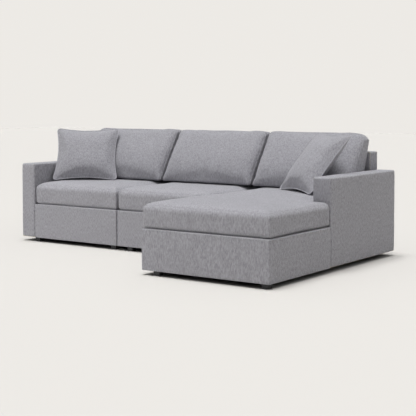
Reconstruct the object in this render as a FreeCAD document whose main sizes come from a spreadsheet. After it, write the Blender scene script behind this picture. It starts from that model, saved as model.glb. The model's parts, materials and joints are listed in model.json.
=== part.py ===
import FreeCAD, Part
import math
import os
import Sketcher
from FreeCAD import Placement, Rotation, Vector

doc = FreeCAD.newDocument("sectional_sofa")
sheet = doc.addObject("Spreadsheet::Sheet", "Sizes")

# Driving dimensions, in millimetres and degrees
drivingSizes = {
    # widths and depths of the three modules
    "armWidth": 140,
    "leftSeatWidth": 850,
    "middleSeatWidth": 840,
    "chaiseSeatWidth": 829,
    "moduleGap": 6,
    "moduleDepth": 964,
    "chaiseReach": 755,
    # heights above the floor
    "footHeight": 32,
    "baseHeight": 268,
    "armHeight": 620,
    "backHeight": 752,
    "backThickness": 122,
    # upholstery and clearances
    "restGap": 0.3,
    "coverWall": 4,
    "coverEdge": 8,
    "armCoverWall": 6,
    "armCoverEdge": 12,
    "armFoam": 15,
    "backFoam": 20,
    "dustCloth": 1,
    "deckPad": 18,
    # timber
    "railThickness": 28,
    "lowRailHeight": 90,
    "lowRailThickness": 40,
    "blockSize": 80,
    "boardThickness": 18,
    "chaiseLowRailSpacing": 500,
    # springs and their clips
    "springWire": 4,
    "springBar": 44,
    "springPitch": 30,
    "springCount": 5,
    "chaiseSpringSpacing": 125,
    "clipPlate": 2,
    "clipWidth": 26,
    "clipDepth": 20,
    # feet
    "footSize": 50,
    "footTaper": 4,
    "footFrontInset": 42,
    "footRearInset": 170,
    "footOpenInset": 112,
    "footCloseInset": 42,
    "boltDiameter": 8,
    "boltHoleDiameter": 8.6,
    "boltHeadDiameter": 14,
    "boltHeadHeight": 5,
    "boltHeadRecess": 10,
    "boltRecessDiameter": 16,
    "boltReach": 26,
    # connectors between the modules
    "connectorInset": 150,
    "connectorHeight": 90,
    "socketWidth": 50,
    "socketDrop": 50,
    "socketLip": 4,
    "socketPocket": 2.4,
    "connectorPlate": 1.8,
    "tongueBridge": 6,
    "tonguePlateRise": 40,
    # loose cushions
    "cushionGap": 1,
    "cushionArmGap": 1.5,
    "cushionFabric": 2.5,
    "cushionFill": 0.6,
    "seatEdgeHeight": 462,
    "seatCrown": 18,
    "seatEdgeRadius": 20,
    "seatCornerRadius": 30,
    "seatNotchRadius": 12,
    "seatSideDraw": 3,
    "backCushionSetback": 530,
    "backCushionFoot": 212,
    "backCushionLean": 19,
    "backCushionTop": 879,
    "backCushionCrest": 160,
    "backCushionRadius": 34,
    "backCushionCrown": 22,
    "backCushionShoulder": 50,
    # throw pillows
    "pillowSide": 508,
    "pillowThickness": 150,
    "pillowSideDraw": 24,
    "pillowCorner": 22,
    "pillowFabric": 1.6,
    "pipingDiameter": 7,
    "leftPillowFromArm": 161.1,
    "leftPillowFromFront": 441.6,
    "leftPillowTurn": 36,
    "leftPillowLean": 38,
    "rightPillowFromArm": 244,
    "rightPillowFromFront": 461.4,
    "rightPillowTurn": -33,
    "rightPillowLean": 35,
}

for number, (alias, amount) in enumerate(drivingSizes.items(), start=1):
    sheet.set("A%d" % number, alias)
    sheet.set("B%d" % number, str(amount))
    sheet.setAlias("B%d" % number, alias)
doc.recompute()

# Places worked out from the sizes: x to the right, y to the back, z up
places = doc.addObject("App::VarSet", "Places")


def addPlace(name, expression):
    places.addProperty("App::PropertyFloat", name)
    places.setExpression(name, expression)


addPlace(
    "leftEdge",
    "-(2 * Sizes.armWidth + Sizes.leftSeatWidth + Sizes.middleSeatWidth"
    " + Sizes.chaiseSeatWidth + 2 * Sizes.moduleGap) / 2",
)
addPlace("leftStart", "leftEdge + Sizes.armWidth")
addPlace("leftEnd", "leftStart + Sizes.leftSeatWidth")
addPlace("middleStart", "leftEnd + Sizes.moduleGap")
addPlace("middleEnd", "middleStart + Sizes.middleSeatWidth")
addPlace("chaiseStart", "middleEnd + Sizes.moduleGap")
addPlace("chaiseEnd", "chaiseStart + Sizes.chaiseSeatWidth")
addPlace("rightEdge", "chaiseEnd + Sizes.armWidth")
addPlace("rearFace", "(Sizes.moduleDepth + Sizes.chaiseReach) / 2")
addPlace("seatFront", "rearFace - Sizes.moduleDepth")
addPlace("chaiseFront", "-rearFace")
addPlace("backFront", "rearFace - Sizes.backThickness")
addPlace("baseTop", "Sizes.footHeight + Sizes.baseHeight")
addPlace("innerGap", "Sizes.coverWall + Sizes.restGap")
addPlace("clipHeight", "2 * Sizes.clipPlate + Sizes.springWire + 2 * Sizes.restGap")
addPlace("frameBottom", "Sizes.footHeight + Sizes.dustCloth + Sizes.restGap")
addPlace("padTop", "baseTop - innerGap")
addPlace("padBottom", "padTop - Sizes.deckPad")
addPlace("railTop", "padBottom - Sizes.restGap - clipHeight")
addPlace("railHeight", "railTop - frameBottom")
addPlace("frameFront", "seatFront + innerGap")
addPlace("chaiseFrameFront", "chaiseFront + innerGap")
addPlace("frameRear", "backFront - Sizes.restGap - innerGap")
for module in ("left", "middle", "chaise"):
    addPlace(module + "FrameStart", module + "Start + innerGap")
    addPlace(module + "FrameEnd", module + "End - innerGap")
addPlace("limbEnd", "rightEdge - innerGap")
addPlace("limbRear", "seatFront - Sizes.restGap - innerGap")
addPlace("seatCushionBottom", "baseTop + Sizes.restGap")
addPlace("seatCrownTop", "Sizes.seatEdgeHeight + Sizes.seatCrown")
addPlace("backCushionBottom", "seatCrownTop + Sizes.restGap")
doc.recompute()


def size(name):
    return float(sheet.get(name))


def spot(name):
    return float(getattr(places, name))


nodes = {}


def keep(item, label):
    item.Label = label
    nodes[label] = item
    return item


def block(name, x, y, z, width, depth, height):
    piece = doc.addObject("Part::Box", name)
    for path, text in (
        ("Placement.Base.x", x),
        ("Placement.Base.y", y),
        ("Placement.Base.z", z),
        ("Length", width),
        ("Width", depth),
        ("Height", height),
    ):
        piece.setExpression(path, text)
    return piece


def rod(name, x, y, z, diameter, height):
    piece = doc.addObject("Part::Cylinder", name)
    piece.setExpression("Placement.Base.x", x)
    piece.setExpression("Placement.Base.y", y)
    piece.setExpression("Placement.Base.z", z)
    piece.setExpression("Radius", "(%s) / 2" % diameter)
    piece.setExpression("Height", height)
    return piece


def cut(name, base, tool):
    piece = doc.addObject("Part::Cut", name)
    piece.Base = base
    piece.Tool = tool
    return piece


def fuse(name, members):
    piece = doc.addObject("Part::MultiFuse", name)
    piece.Shapes = members
    return piece


def group(name, members):
    piece = doc.addObject("Part::Compound", name)
    piece.Links = members
    return piece


# A closed outline in the body's ground plane; a corner is a pair of expressions, None on an axis
def outline(body, name, corners):
    sketch = body.newObject("Sketcher::SketchObject", name)
    ground = [item for item in body.Origin.OriginFeatures if item.Role == "XY_Plane"][0]
    sketch.AttachmentSupport = [(ground, "")]
    sketch.MapMode = "FlatFace"
    count = len(corners)
    roughRadius = 500
    rough = [
        Vector(
            roughRadius * (1 + math.cos(2 * math.pi * k / count)),
            roughRadius * (1 + math.sin(2 * math.pi * k / count)),
            0,
        )
        for k in range(count)
    ]
    for k in range(count):
        sketch.addGeometry(Part.LineSegment(rough[k], rough[(k + 1) % count]), False)
    for k in range(count):
        sketch.addConstraint(Sketcher.Constraint("Coincident", k, 2, (k + 1) % count, 1))
    for k, (across, back) in enumerate(corners):
        for axis, text, kind in ((-2, across, "DistanceX"), (-1, back, "DistanceY")):
            if text is None:
                sketch.addConstraint(Sketcher.Constraint("PointOnObject", k, 1, axis))
                continue
            index = sketch.addConstraint(Sketcher.Constraint(kind, -1, 1, k, 1, roughRadius))
            corner = "%s%d" % (kind, k)
            sketch.renameConstraint(index, corner)
            sketch.setExpression("Constraints." + corner, text)
    return sketch


def rectangle(width, depth):
    return [(None, None), (width, None), (width, depth), (None, depth)]


def insetRectangle(width, depth, wall):
    far = "%s - %s"
    return [
        (wall, wall),
        (far % (width, wall), wall),
        (far % (width, wall), far % (depth, wall)),
        (wall, far % (depth, wall)),
    ]


# A sewn cover: padded block with rounded edges, hollowed from below to an even wall
def sewnCover(label, corner, outer, inner, height, wall, edge):
    body = doc.addObject("PartDesign::Body", label)
    body.setExpression("Placement.Base.x", corner[0])
    body.setExpression("Placement.Base.y", corner[1])
    body.setExpression("Placement.Base.z", "Sizes.footHeight")
    pad = body.newObject("PartDesign::Pad", label + "_block")
    pad.Profile = outline(body, label + "_outline", outer)
    pad.setExpression("Length", height)
    doc.recompute()
    rounded = []
    for number, ridge in enumerate(pad.Shape.Edges, start=1):
        if ridge.BoundBox.ZMax > pad.Shape.BoundBox.ZMin + 1:
            rounded.append("Edge%d" % number)
    fillet = body.newObject("PartDesign::Fillet", label + "_edges")
    fillet.Base = (pad, rounded)
    fillet.setExpression("Radius", edge)
    doc.recompute()
    solidVolume = fillet.Shape.Volume
    pocket = body.newObject("PartDesign::Pocket", label + "_hollow")
    pocket.Profile = outline(body, label + "_lining", inner)
    pocket.Reversed = True
    pocket.setExpression("Length", "%s - %s" % (height, wall))
    doc.recompute()
    if pocket.Shape.Volume > solidVolume / 2:
        raise RuntimeError(label + " is not hollow")
    return keep(body, label)


# Foam over the frame, open below
def foamSleeve(label, start, end, front, rear, top, foam):
    width = "(%s) - (%s)" % (end, start)
    depth = "(%s) - (%s)" % (rear, front)
    height = "(%s) - Places.frameBottom" % top
    outer = block(label + "_outer", start, front, "Places.frameBottom", width, depth, height)
    inner = block(
        label + "_inner",
        "%s + %s" % (start, foam),
        "%s + %s" % (front, foam),
        "Places.frameBottom",
        "%s - 2 * %s" % (width, foam),
        "%s - 2 * %s" % (depth, foam),
        "%s - %s" % (height, foam),
    )
    return keep(cut(label, outer, inner), label)


# Plywood box frame with ribs: boards stand across the thin direction
def boxFrame(label, start, end, front, rear, top, ribs, ribsAlongX):
    board = "Sizes.boardThickness"
    width = "((%s) - (%s))" % (end, start)
    depth = "((%s) - (%s))" % (rear, front)
    height = "(%s) - Places.frameBottom" % top
    between = "%s - 2 * %s" % (height, board)
    ribFoot = "Places.frameBottom + " + board
    members = [
        block(label + "_sole", start, front, "Places.frameBottom", width, depth, board),
        block(label + "_cap", start, front, "%s - %s" % (top, board), width, depth, board),
    ]
    for rib in range(ribs):
        share = "%d / %d" % (rib, ribs - 1)
        if ribsAlongX:
            x = "%s + (%s - %s) * %s" % (start, width, board, share)
            members.append(block(label + "_rib%d" % rib, x, front, ribFoot, board, depth, between))
        else:
            y = "%s + (%s - %s) * %s" % (front, depth, board, share)
            members.append(block(label + "_rib%d" % rib, start, y, ribFoot, width, board, between))
    return keep(group(label, members), label)


# Feet, bolts and the clearance holes above them, for a list of foot centres
def feet(module, centres):
    blocks, bolts, holes = [], [], []
    half = "Sizes.footSize / 2"
    for number, (x, y) in enumerate(centres):
        name = "%s_foot%d" % (module, number)
        holeTop = "Places.frameBottom + Sizes.boltReach + Sizes.restGap"
        hole = rod(name + "_hole", x, y, "0", "Sizes.boltHoleDiameter", holeTop)
        recess = rod(name + "_recess", x, y, "0", "Sizes.boltRecessDiameter", "Sizes.boltHeadRecess")
        foot = doc.addObject("Part::Wedge", name + "_block")
        for corner, text in (
            ("Xmin", "0"),
            ("Ymin", "0"),
            ("Zmin", "0"),
            ("X2min", "0"),
            ("Z2min", "0"),
            ("Xmax", "Sizes.footSize"),
            ("Ymax", "Sizes.footHeight"),
            ("Zmax", "Sizes.footSize"),
            ("X2max", "Sizes.footSize"),
            ("Z2max", "Sizes.footSize"),
        ):
            foot.setExpression(corner, text)
        for corner, text in (
            ("Xmin", "Sizes.footTaper"),
            ("Zmin", "Sizes.footTaper"),
            ("Xmax", "Sizes.footSize - Sizes.footTaper"),
            ("Zmax", "Sizes.footSize - Sizes.footTaper"),
        ):
            foot.setExpression(corner, text)
        foot.Placement = Placement(Vector(0, 0, 0), Rotation(Vector(1, 0, 0), 90))
        foot.setExpression("Placement.Base.x", "%s - %s" % (x, half))
        foot.setExpression("Placement.Base.y", "%s + %s" % (y, half))
        blocks.append(cut(name, foot, group(name + "_bore", [hole, recess])))
        holes.append(hole)
        headBase = "Sizes.boltHeadRecess - Sizes.boltHeadHeight"
        shankTop = "Places.frameBottom + Sizes.boltReach - Sizes.boltHeadRecess"
        head = rod(name + "_head", x, y, headBase, "Sizes.boltHeadDiameter", "Sizes.boltHeadHeight")
        shank = rod(name + "_shank", x, y, "Sizes.boltHeadRecess", "Sizes.boltDiameter", shankTop)
        bolts.append(fuse(name + "_bolt", [head, shank]))
    keep(group(module + "_feet", blocks), module + "_feet")
    keep(group(module + "_foot_bolts", bolts), module + "_foot_bolts")
    return group(module + "_bolt_holes", holes)


# One sinuous spring along local y: straight bars joined by half-round bends
def sinuousSpring(length):
    bends = max(3, round(length / size("springPitch")))
    if bends % 2:
        bends += 1
    step = length / bends
    half = size("springBar") / 2
    edges = []
    side = 1
    for k in range(bends + 1):
        near = Vector(-side * half, k * step, 0)
        far = Vector(side * half, k * step, 0)
        edges.append(Part.LineSegment(near, far).toShape())
        if k < bends:
            apex = Vector(side * (half + step / 2), (k + 0.5) * step, 0)
            edges.append(Part.Arc(far, apex, Vector(side * half, (k + 1) * step, 0)).toShape())
        side = -side
    spine = Part.Wire(edges)
    section = Part.Wire(Part.Circle(Vector(-half, 0, 0), Vector(1, 0, 0), size("springWire") / 2).toShape())
    return spine.makePipeShell([section], True, False)


def clipShape(towards):
    width, depth = size("clipWidth"), size("clipDepth")
    plate, tall = size("clipPlate"), spot("clipHeight")
    solid = Part.makeBox(width, depth, tall, Vector(-width / 2, -depth / 2, 0))
    slotStart = -depth / 2 + plate if towards > 0 else -depth / 2 - 1
    slotCorner = Vector(-width / 2 - 1, slotStart, plate)
    slot = Part.makeBox(width + 2, depth - plate + 1, tall - 2 * plate, slotCorner)
    return solid.cut(slot)


# Springs and clips between two rails; alongY runs them front to back, otherwise side to side
def springSet(module, first, last, near, far, count, alongY):
    wireLift = size("clipPlate") + size("restGap") + size("springWire") / 2
    turn = Rotation(Vector(0, 0, 1), 0 if alongY else -90)
    springs, clips = [], []
    spring = sinuousSpring(far - near)
    for k in range(count):
        across = first + (last - first) * (k + 0.5) / count
        base = Vector(across, near, 0) if alongY else Vector(near, across, 0)
        end = Vector(across, far, 0) if alongY else Vector(far, across, 0)
        wire = spring.copy()
        wire.Placement = Placement(base + Vector(0, 0, wireLift), turn)
        springs.append(wire)
        for point, towards in ((base, 1), (end, -1)):
            clip = clipShape(towards)
            clip.Placement = Placement(point, turn)
            clips.append(clip)
    for label, shapes in (("_seat_springs", springs), ("_spring_clips", clips)):
        piece = doc.addObject("Part::Feature", module + label)
        piece.Shape = Part.makeCompound(shapes)
        piece.Placement = Placement(Vector(0, 0, spot("railTop")), Rotation())
        keep(piece, module + label)


# Base frame rails of the two square modules
def squareBase(module, holes):
    start, end = "Places.%sFrameStart" % module, "Places.%sFrameEnd" % module
    rail, low = "Sizes.railThickness", "Places.frameBottom"
    front, rear = "Places.frameFront", "Places.frameRear"
    wide, tall = "(%s - %s)" % (end, start), "Places.railHeight"
    innerDepth = "%s - %s - 2 * %s" % (rear, front, rail)
    name = module + "_rail_"
    sideLeft = block(name + "left", start, front + " + " + rail, low, rail, innerDepth, tall)
    members = [
        block(name + "front", start, front, low, wide, rail, tall),
        block(name + "rear", start, "%s - %s" % (rear, rail), low, wide, rail, tall),
        cut(name + "left_bored", sideLeft, holes),
        block(name + "right", "%s - %s" % (end, rail), front + " + " + rail, low, rail, innerDepth, tall),
        block(
            name + "centre",
            "(%s + %s - Sizes.lowRailThickness) / 2" % (start, end),
            front + " + " + rail,
            low,
            "Sizes.lowRailThickness",
            innerDepth,
            "Sizes.lowRailHeight",
        ),
    ]
    return members


def cornerBlock(module, name, x, y, holes):
    box = block(
        "%s_block_%s" % (module, name), x, y, "Places.frameBottom", "Sizes.blockSize", "Sizes.blockSize",
        "Places.railHeight",
    )
    return cut("%s_block_%s_bored" % (module, name), box, holes)


frontFootY = "Places.seatFront + Sizes.footFrontInset"
rearFootY = "Places.rearFace - Sizes.footRearInset"
chaiseFootY = "Places.chaiseFront + Sizes.footFrontInset"
frontBlockY = "Places.frameFront + Sizes.railThickness"
rearBlockY = "Places.frameRear - Sizes.railThickness - Sizes.blockSize"
railMiddle = "Places.leftFrameStart + Sizes.railThickness / 2"

# Left module: feet, base, arm and back
leftCloseX = "Places.leftEnd - Sizes.footCloseInset"
leftHoles = feet("left", [(x, y) for x in (railMiddle, leftCloseX) for y in (frontFootY, rearFootY)])
leftBase = squareBase("left", leftHoles)
closeBlockX = "Places.leftFrameEnd - Sizes.railThickness - Sizes.blockSize"
leftBase.append(cornerBlock("left", "front", closeBlockX, frontBlockY, leftHoles))
leftBase.append(cornerBlock("left", "rear", closeBlockX, rearBlockY, leftHoles))
keep(group("left_base_frame", leftBase), "left_base_frame")

# Middle module
middleOpenX = "Places.middleStart + Sizes.footOpenInset"
middleCloseX = "Places.middleEnd - Sizes.footCloseInset"
middleHoles = feet("middle", [(x, y) for x in (middleOpenX, middleCloseX) for y in (frontFootY, rearFootY)])
middleBase = squareBase("middle", middleHoles)
closeBlockX = "Places.middleFrameEnd - Sizes.railThickness - Sizes.blockSize"
for name, x in (("open", middleOpenX + " - Sizes.blockSize / 2"), ("close", closeBlockX)):
    middleBase.append(cornerBlock("middle", name + "_front", x, frontBlockY, middleHoles))
    middleBase.append(cornerBlock("middle", name + "_rear", x, rearBlockY, middleHoles))
keep(group("middle_base_frame", middleBase), "middle_base_frame")

# Chaise module: a long frame with a limb that runs in front of the arm
chaiseOpenX = "Places.chaiseStart + Sizes.footOpenInset"
chaiseCloseX = "Places.rightEdge - Sizes.footCloseInset"
chaiseRearX = "Places.chaiseEnd - Sizes.footCloseInset"
chaiseCentres = [
    (chaiseOpenX, chaiseFootY),
    (chaiseCloseX, chaiseFootY),
    (chaiseOpenX, rearFootY),
    (chaiseRearX, rearFootY),
    ("(Places.chaiseStart + Places.chaiseEnd) / 2", "Places.seatFront"),
]
chaiseHoles = feet("chaise", chaiseCentres)
low, rail, tall = "Places.frameBottom", "Sizes.railThickness", "Places.railHeight"
start, end, limb = "Places.chaiseFrameStart", "Places.chaiseFrameEnd", "Places.limbEnd"
front, rear, limbRear = "Places.chaiseFrameFront", "Places.frameRear", "Places.limbRear"
behindFront = "%s + %s" % (front, rail)
innerLength = "%s - %s - 2 * %s" % (rear, front, rail)
limbWidth = "%s - %s - %s" % (limb, end, rail)
chaiseBase = [
    block("chaise_rail_front", start, front, low, "%s - %s" % (limb, start), rail, tall),
    block("chaise_rail_rear", start, "%s - %s" % (rear, rail), low, "%s - %s" % (end, start), rail, tall),
    block("chaise_rail_left", start, behindFront, low, rail, innerLength, tall),
    block("chaise_rail_right", "%s - %s" % (end, rail), behindFront, low, rail, innerLength, tall),
    block(
        "chaise_rail_limb", "%s - %s" % (limb, rail), behindFront, low, rail,
        "%s - %s - %s" % (limbRear, front, rail), tall,
    ),
    block("chaise_rail_limb_end", end, "%s - %s" % (limbRear, rail), low, limbWidth, rail, tall),
]
for side, direction in (("front", "-"), ("rear", "+")):
    y = "Places.seatFront %s Sizes.chaiseLowRailSpacing / 2 - Sizes.lowRailThickness / 2" % direction
    chaiseBase.append(
        block(
            "chaise_rail_low_" + side, "%s + %s" % (start, rail), y, low,
            "%s - %s - 2 * %s" % (end, start, rail), "Sizes.lowRailThickness", "Sizes.lowRailHeight",
        )
    )
centreBeam = block(
    "chaise_rail_beam",
    "(Places.chaiseStart + Places.chaiseEnd - Sizes.blockSize) / 2",
    "Places.seatFront - Sizes.chaiseLowRailSpacing / 2 + Sizes.lowRailThickness / 2",
    low,
    "Sizes.blockSize",
    "Sizes.chaiseLowRailSpacing - Sizes.lowRailThickness",
    "Sizes.lowRailHeight",
)
chaiseBase.append(cut("chaise_rail_beam_bored", centreBeam, chaiseHoles))
openBlockX = chaiseOpenX + " - Sizes.blockSize / 2"
rearCloseX = "%s - %s - Sizes.blockSize" % (end, rail)
limbBlockX = "%s - %s - Sizes.blockSize" % (limb, rail)
chaiseBase.append(cornerBlock("chaise", "open_front", openBlockX, behindFront, chaiseHoles))
chaiseBase.append(cornerBlock("chaise", "limb_front", limbBlockX, behindFront, chaiseHoles))
chaiseBase.append(cornerBlock("chaise", "open_rear", openBlockX, rearBlockY, chaiseHoles))
chaiseBase.append(cornerBlock("chaise", "close_rear", rearCloseX, rearBlockY, chaiseHoles))
keep(group("chaise_base_frame", chaiseBase), "chaise_base_frame")

# Springs and clips
seatNear = spot("frameFront") + size("railThickness") / 2
seatFar = spot("frameRear") - size("railThickness") / 2
for module in ("left", "middle"):
    springSet(
        module, spot(module + "FrameStart"), spot(module + "FrameEnd"), seatNear, seatFar,
        int(size("springCount")), True,
    )
chaiseFirst = spot("chaiseFrameFront") + size("railThickness")
chaiseLast = spot("frameRear") - size("railThickness")
springSet(
    "chaise", chaiseFirst, chaiseLast, spot("chaiseFrameStart") + size("railThickness") / 2,
    spot("chaiseFrameEnd") - size("railThickness") / 2,
    max(1, round((chaiseLast - chaiseFirst) / size("chaiseSpringSpacing"))), False,
)

# Deck pads, dust cloths and base covers
baseDepth = "(Places.backFront - Sizes.restGap - Places.seatFront)"
for module, holes in (("left", leftHoles), ("middle", middleHoles)):
    start, end = "Places.%sFrameStart" % module, "Places.%sFrameEnd" % module
    width, depth = "%s - %s" % (end, start), "Places.frameRear - Places.frameFront"
    front = "Places.frameFront"
    deck = block(module + "_deck_pad", start, front, "Places.padBottom", width, depth, "Sizes.deckPad")
    keep(deck, module + "_deck_pad")
    cloth = block(module + "_cloth", start, front, "Sizes.footHeight", width, depth, "Sizes.dustCloth")
    keep(cut(module + "_dust_cover", cloth, holes), module + "_dust_cover")
    seatWidth = "Sizes.%sSeatWidth" % module
    sewnCover(
        module + "_base_cover",
        ("Places.%sStart" % module, "Places.seatFront"),
        rectangle(seatWidth, baseDepth),
        insetRectangle(seatWidth, baseDepth, "Sizes.coverWall"),
        "Sizes.baseHeight",
        "Sizes.coverWall",
        "Sizes.coverEdge",
    )

start, end, front = "Places.chaiseFrameStart", "Places.chaiseFrameEnd", "Places.chaiseFrameFront"
limb, limbRear, rear = "Places.limbEnd", "Places.limbRear", "Places.frameRear"
for name, z, thick in (
    ("pad", "Places.padBottom", "Sizes.deckPad"),
    ("cloth", "Sizes.footHeight", "Sizes.dustCloth"),
):
    mainWidth, mainDepth = "%s - %s" % (end, start), "%s - %s" % (rear, front)
    aheadWidth, aheadDepth = "%s - %s" % (limb, start), "%s - %s" % (limbRear, front)
    whole = block("chaise_%s_main" % name, start, front, z, mainWidth, mainDepth, thick)
    ahead = block("chaise_%s_limb" % name, start, front, z, aheadWidth, aheadDepth, thick)
    sheetShape = fuse("chaise_%s_sheet" % name, [whole, ahead])
    if name == "pad":
        keep(sheetShape, "chaise_deck_pad")
    else:
        keep(cut("chaise_dust_cover", sheetShape, chaiseHoles), "chaise_dust_cover")

fullWidth, seatWidth = "(Sizes.chaiseSeatWidth + Sizes.armWidth)", "Sizes.chaiseSeatWidth"
limbDepth, fullDepth = "(Sizes.chaiseReach - Sizes.restGap)", "(Sizes.chaiseReach + %s)" % baseDepth
wall = "Sizes.coverWall"
sewnCover(
    "chaise_base_cover",
    ("Places.chaiseStart", "Places.chaiseFront"),
    [
        (None, None),
        (fullWidth, None),
        (fullWidth, limbDepth),
        (seatWidth, limbDepth),
        (seatWidth, fullDepth),
        (None, fullDepth),
    ],
    [
        (wall, wall),
        ("%s - %s" % (fullWidth, wall), wall),
        ("%s - %s" % (fullWidth, wall), "%s - %s" % (limbDepth, wall)),
        ("%s - %s" % (seatWidth, wall), "%s - %s" % (limbDepth, wall)),
        ("%s - %s" % (seatWidth, wall), "%s - %s" % (fullDepth, wall)),
        (wall, "%s - %s" % (fullDepth, wall)),
    ],
    "Sizes.baseHeight",
    wall,
    "Sizes.coverEdge",
)

# Arms: cover, foam sleeve and plywood box frame
armInner = "(Sizes.armCoverWall + Sizes.restGap)"
armFrameInner = "(%s + Sizes.armFoam + Sizes.restGap)" % armInner
armDepth, armTall = "Sizes.moduleDepth", "(Sizes.armHeight - Sizes.footHeight)"
armCoverWidth = "(Sizes.armWidth - Sizes.restGap)"
for module, armStart in (("left", "Places.leftEdge"), ("chaise", "(Places.chaiseEnd + Sizes.restGap)")):
    sewnCover(
        module + "_arm_cover",
        (armStart, "Places.seatFront"),
        rectangle(armCoverWidth, armDepth),
        insetRectangle(armCoverWidth, armDepth, "Sizes.armCoverWall"),
        armTall,
        "Sizes.armCoverWall",
        "Sizes.armCoverEdge",
    )
    armEnd = "%s + %s" % (armStart, armCoverWidth)
    spans = {}
    for layer, inset in (("foam", armInner), ("frame", armFrameInner)):
        spans[layer] = (
            "%s + %s" % (armStart, inset),
            "%s - %s" % (armEnd, inset),
            "Places.seatFront + %s" % inset,
            "Places.rearFace - %s" % inset,
            "Sizes.armHeight - %s" % inset,
        )
    foamSleeve(module + "_arm_foam", *spans["foam"], "Sizes.armFoam")
    boxFrame(module + "_arm_frame", *spans["frame"], 4, False)

# Backs
backInner = "(Sizes.coverWall + Sizes.restGap)"
backFrameInner = "(%s + Sizes.backFoam + Sizes.restGap)" % backInner
for module in ("left", "middle", "chaise"):
    start, end = "Places.%sStart" % module, "Places.%sEnd" % module
    seatWidth = "Sizes.%sSeatWidth" % module
    sewnCover(
        module + "_back_cover",
        (start, "Places.backFront"),
        rectangle(seatWidth, "Sizes.backThickness"),
        insetRectangle(seatWidth, "Sizes.backThickness", "Sizes.coverWall"),
        "(Sizes.backHeight - Sizes.footHeight)",
        "Sizes.coverWall",
        "Sizes.coverEdge",
    )
    foamSleeve(
        module + "_back_foam", "%s + %s" % (start, backInner), "%s - %s" % (end, backInner),
        "Places.backFront + %s" % backInner, "Places.rearFace - %s" % backInner,
        "Sizes.backHeight - %s" % backInner, "Sizes.backFoam",
    )
    boxFrame(
        module + "_back_frame", "%s + %s" % (start, backFrameInner), "%s - %s" % (end, backFrameInner),
        "Places.backFront + %s" % backFrameInner, "Places.rearFace - %s" % backFrameInner,
        "Sizes.backHeight - %s" % backFrameInner, 4, True,
    )

# Connectors: sockets on both sides of the middle module, tongues on the two outer modules
socketTop = "Sizes.connectorHeight + Sizes.socketDrop"
connectorYs = (
    "Places.seatFront + Sizes.connectorInset",
    "Places.backFront - Sizes.connectorInset",
)


def sideBlock(name, face, side, near, far, y, z, depth, height):
    start = "%s - (%s)" % (face, far) if side < 0 else "%s + (%s)" % (face, near)
    return block(name, start, y, z, "(%s) - (%s)" % (far, near), depth, height)


sockets = []
for module, face, side in (("left", "Places.middleStart", -1), ("chaise", "Places.middleEnd", 1)):
    tongues = []
    for number, y in enumerate(connectorYs):
        name = "%s_connector%d" % (module, number)
        lipY = "%s - Sizes.socketWidth / 2" % y
        farLipY = "%s + Sizes.socketWidth / 2 - Sizes.socketLip" % y
        outer = "Sizes.socketPocket + Sizes.connectorPlate"
        sockets.append(
            fuse(
                name + "_socket",
                [
                    sideBlock(name + "_lip", face, side, "0", "Sizes.socketPocket", lipY,
                              "Sizes.connectorHeight", "Sizes.socketLip", "Sizes.socketDrop"),
                    sideBlock(name + "_far_lip", face, side, "0", "Sizes.socketPocket", farLipY,
                              "Sizes.connectorHeight", "Sizes.socketLip", "Sizes.socketDrop"),
                    sideBlock(name + "_plate", face, side, "Sizes.socketPocket", outer, lipY,
                              "Sizes.connectorHeight", "Sizes.socketWidth", "Sizes.socketDrop"),
                ],
            )
        )
        tongueWidth = "(Sizes.socketWidth - 2 * Sizes.socketLip - 2 * Sizes.restGap)"
        tongueY = "%s - %s / 2" % (y, tongueWidth)
        fingerFar = "Sizes.restGap + Sizes.connectorPlate"
        bridgeZ = "%s + Sizes.restGap" % socketTop
        tongues.append(
            fuse(
                name + "_tongue",
                [
                    sideBlock(name + "_finger", face, side, "Sizes.restGap", fingerFar, tongueY,
                              "Sizes.connectorHeight", tongueWidth, "Sizes.socketDrop + Sizes.restGap"),
                    sideBlock(name + "_bridge", face, side, "Sizes.restGap", "Sizes.moduleGap", tongueY,
                              bridgeZ, tongueWidth, "Sizes.tongueBridge"),
                    sideBlock(name + "_strap", face, side, "Sizes.moduleGap - Sizes.connectorPlate",
                              "Sizes.moduleGap", tongueY, bridgeZ, tongueWidth, "Sizes.tonguePlateRise"),
                ],
            )
        )
    keep(group(module + "_connector_tongues", tongues), module + "_connector_tongues")
keep(group("middle_connector_sockets", sockets), "middle_connector_sockets")
doc.recompute()


# A planar ring of side arcs and corner arcs; a swell over 0 bows a side outwards
def softRing(corners, normal, reaches, swells):
    edges = []
    count = len(corners)
    for k in range(count):
        here, there, beyond = corners[k], corners[(k + 1) % count], corners[(k + 2) % count]
        along = (there - here).normalize()
        after = (beyond - there).normalize()
        reach = reaches[(k + 1) % count]
        first, last = here + along * reaches[k], there - along * reach
        outward = along.cross(normal)
        if swells[k]:
            bow = (first + last) / 2 + outward * swells[k]
            edges.append(Part.Arc(first, bow, last).toShape())
        else:
            edges.append(Part.LineSegment(first, last).toShape())
        turned = there + after * reach
        sine = (turned - last).Length / 2 / reach
        middle = there + ((last + turned) / 2 - there) / (1 + sine)
        edges.append(Part.Arc(last, middle, turned).toShape())
    return Part.Wire(edges)


# The corners of a polygon moved inwards by an even distance
def insetCorners(corners, normal, inset):
    moved = []
    count = len(corners)
    for k in range(count):
        before, here, after = corners[k - 1], corners[k], corners[(k + 1) % count]
        arriving = (here - before).normalize()
        leaving = (after - here).normalize()
        inward = normal.cross(arriving)
        inwardNext = normal.cross(leaving)
        bisector = (inward + inwardNext).normalize()
        moved.append(here + bisector * (inset / bisector.dot(inward)))
    return moved


# A closed skin: the outer solid with the inner one as its cavity
def hollow(outer, inner):
    cavity = inner.Shells[0].copy()
    cavity.reverse()
    return Part.Solid(Part.makeCompound([outer.Shells[0], cavity]))


def addShape(label, shape, placement):
    piece = doc.addObject("Part::Feature", label)
    piece.Shape = shape
    piece.Placement = placement
    return keep(piece, label)


upwards = Vector(0, 0, 1)


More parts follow.
